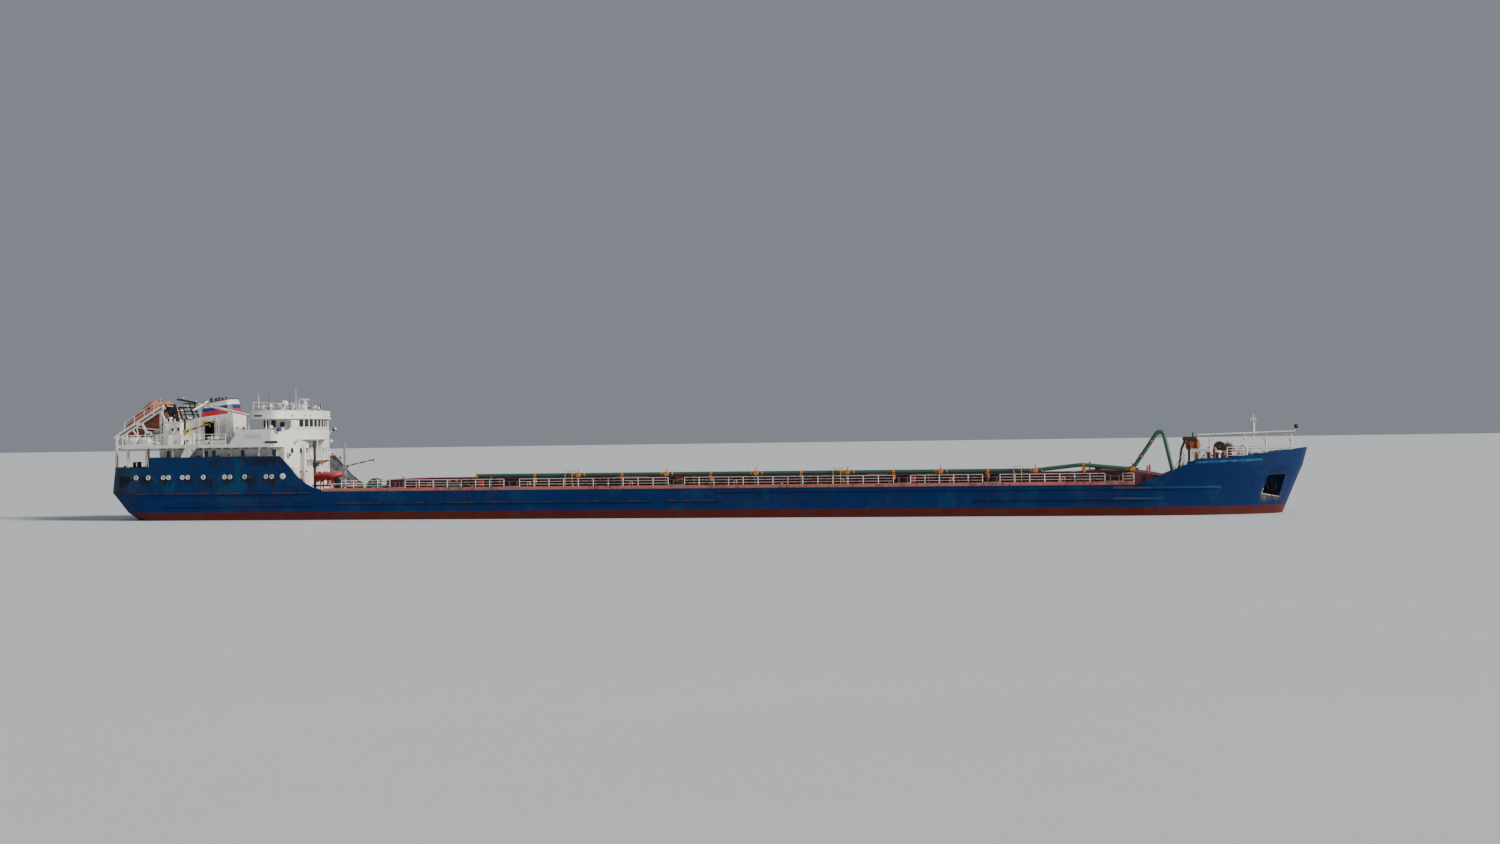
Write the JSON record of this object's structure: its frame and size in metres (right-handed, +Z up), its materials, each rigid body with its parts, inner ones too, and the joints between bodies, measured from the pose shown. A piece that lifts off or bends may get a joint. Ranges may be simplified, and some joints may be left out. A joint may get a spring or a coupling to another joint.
{
  "type": "1:10 scale model of an oil-ore carrier",
  "caption": "River-sea oil-ore carrier afloat: open hold between tank sides, deck pipe, aft bridge, lowered mast, derricks, free-fall lifeboat, twin screws and rudders.",
  "frame": {"origin": "on the centreline at midships, at the waterline in ballast that the picture shows", "axes": "+X forward to the bow, +Y to port, +Z up"},
  "size_m": [11.9949, 1.36, 1.617],
  "materials": {
    "hull_blue": "weathered, rust streaked",
    "bottom_red": "matt, scuffed",
    "house_white": "semi-gloss, rust streaked",
    "maroon": "matt",
    "edge_red": "matt, worn",
    "pipe_green": "semi-gloss",
    "boat_orange": "faded gloss",
    "raft_white": "gloss",
    "tube_red": "satin",
    "machine_orange": "semi-gloss",
    "gear_black": "matt",
    "post_grey": "matt",
    "boom_yellow": "yellow and black bands",
    "bronze": "cast, dull"
  },
  "bodies": {
    "ship": {"aft_hull": "hull_blue", "fore_hull": "hull_blue", "double_bottom": "bottom_red", "wing_tank_starboard": "hull_blue", "wing_tank_port": "hull_blue", "hold_bulkhead_1": "maroon", "hold_bulkhead_2": "maroon", "coaming_starboard": "maroon", "coaming_port": "maroon", "coaming_aft": "maroon", "fore_trunk": "maroon", "poop_block": "hull_blue", "poop_bulwark": "hull_blue", "poop_house": "house_white", "accommodation_front": "house_white", "boat_deck": "house_white", "boat_deck_rail_starboard": "house_white", "boat_deck_rail_port": "house_white", "bridge_wings": "house_white", "wheelhouse": "house_white", "monkey_island": "house_white", "signal_gear": "house_white", "engine_casing": "house_white", "funnel": "house_white", "lifeboat_ramp": "house_white", "raft_rack_starboard": "raft_white", "raft_rack_port": "raft_white", "derrick_post_aft": "gear_black", "derrick_post_starboard": "gear_black", "derrick_post_port": "post_grey", "rescue_boat": "tube_red", "rescue_boat_stand": "machine_orange", "cargo_pipe": "pipe_green", "deck_edge_starboard": "edge_red", "deck_edge_port": "edge_red", "deck_rail_starboard": "house_white", "deck_rail_port": "house_white", "windlass": "house_white", "mooring_bitts": "house_white", "pump_set": "edge_red", "hose_frame": "gear_black", "rope_reel_stand": "gear_black", "forecastle_beam": "house_white", "forecastle_rail": "house_white", "anchor_starboard": "gear_black", "anchor_port": "gear_black"},
    "starboard_propeller": {"propeller_starboard": "bronze"},
    "port_propeller": {"propeller_port": "bronze"},
    "starboard_rudder": {"rudder_starboard": "bottom_red"},
    "port_rudder": {"rudder_port": "bottom_red"},
    "scanner": {"radar_scanner": "house_white"},
    "mast": {"folding_mast": "house_white"},
    "aft_boom": {"derrick_boom_aft": "boom_yellow"},
    "starboard_boom": {"derrick_boom_starboard": "boom_yellow"},
    "port_boom": {"derrick_boom_port": "boom_yellow"},
    "free_fall_boat": {"lifeboat": "boat_orange"},
    "starboard_bridge_door": {"bridge_door_starboard": "house_white"},
    "port_bridge_door": {"bridge_door_port": "house_white"},
    "house_door": {"aft_house_door": "house_white"},
    "reel": {"rope_reel": "machine_orange"}
  },
  "joints": [
    {"name": "propeller_spin_starboard", "type": "hinge", "parent": "ship", "child": "starboard_propeller", "pos_m": [-5.43, -0.32, -0.165], "axis": [1, 0, 0], "continuous": true},
    {"name": "propeller_spin_port", "type": "hinge", "parent": "ship", "child": "port_propeller", "pos_m": [-5.43, 0.32, -0.165], "axis": [1, 0, 0], "continuous": true},
    {"name": "rudder_turn_starboard", "type": "hinge", "parent": "ship", "child": "starboard_rudder", "pos_m": [-5.63, -0.32, -0.165], "axis": [0, 0, 1], "range_deg": [-35, 35]},
    {"name": "rudder_turn_port", "type": "hinge", "parent": "ship", "child": "port_rudder", "pos_m": [-5.63, 0.32, -0.165], "axis": [0, 0, 1], "range_deg": [-35, 35]},
    {"name": "radar_turn", "type": "hinge", "parent": "ship", "child": "scanner", "pos_m": [-4.01, 0, 1.195], "axis": [0, 0, 1], "continuous": true},
    {"name": "mast_fold", "type": "hinge", "parent": "ship", "child": "mast", "pos_m": [-4.362, -0.23, 1.028], "axis": [0, 1, 0], "range_deg": [0, 77]},
    {"name": "derrick_slew_aft", "type": "hinge", "parent": "ship", "child": "aft_boom", "pos_m": [-5.14, -0.35, 0.895], "axis": [0, 0, 1], "range_deg": [-120, 40]},
    {"name": "derrick_slew_starboard", "type": "hinge", "parent": "ship", "child": "starboard_boom", "pos_m": [-3.718, -0.35, 0.545], "axis": [0, 0, 1], "range_deg": [-120, 90]},
    {"name": "derrick_slew_port", "type": "hinge", "parent": "ship", "child": "port_boom", "pos_m": [-3.698, 0.35, 0.51], "axis": [0, 0, 1], "range_deg": [-90, 120]},
    {"name": "lifeboat_slide", "type": "slide", "parent": "ship", "child": "free_fall_boat", "axis": [-0.8638, 0, -0.5039], "range_m": [0, 0.4]},
    {"name": "bridge_door_swing_starboard", "type": "hinge", "parent": "ship", "child": "starboard_bridge_door", "pos_m": [-4.01515, -0.44, 0.9], "axis": [0, 0, 1], "range_deg": [0, 90]},
    {"name": "bridge_door_swing_port", "type": "hinge", "parent": "ship", "child": "port_bridge_door", "pos_m": [-4.01515, 0.44, 0.9], "axis": [0, 0, -1], "range_deg": [0, 90]},
    {"name": "house_door_swing", "type": "hinge", "parent": "ship", "child": "house_door", "pos_m": [-5.38485, -0.28, 0.87], "axis": [0, 0, -1], "range_deg": [0, 110]},
    {"name": "reel_turn", "type": "hinge", "parent": "ship", "child": "reel", "pos_m": [5.23, 0.31, 0.6], "axis": [0, 1, 0], "continuous": true}
  ],
  "couplings": [
    {"joint": "rudder_turn_port", "follows": "rudder_turn_starboard", "ratio": 1}
  ]
}
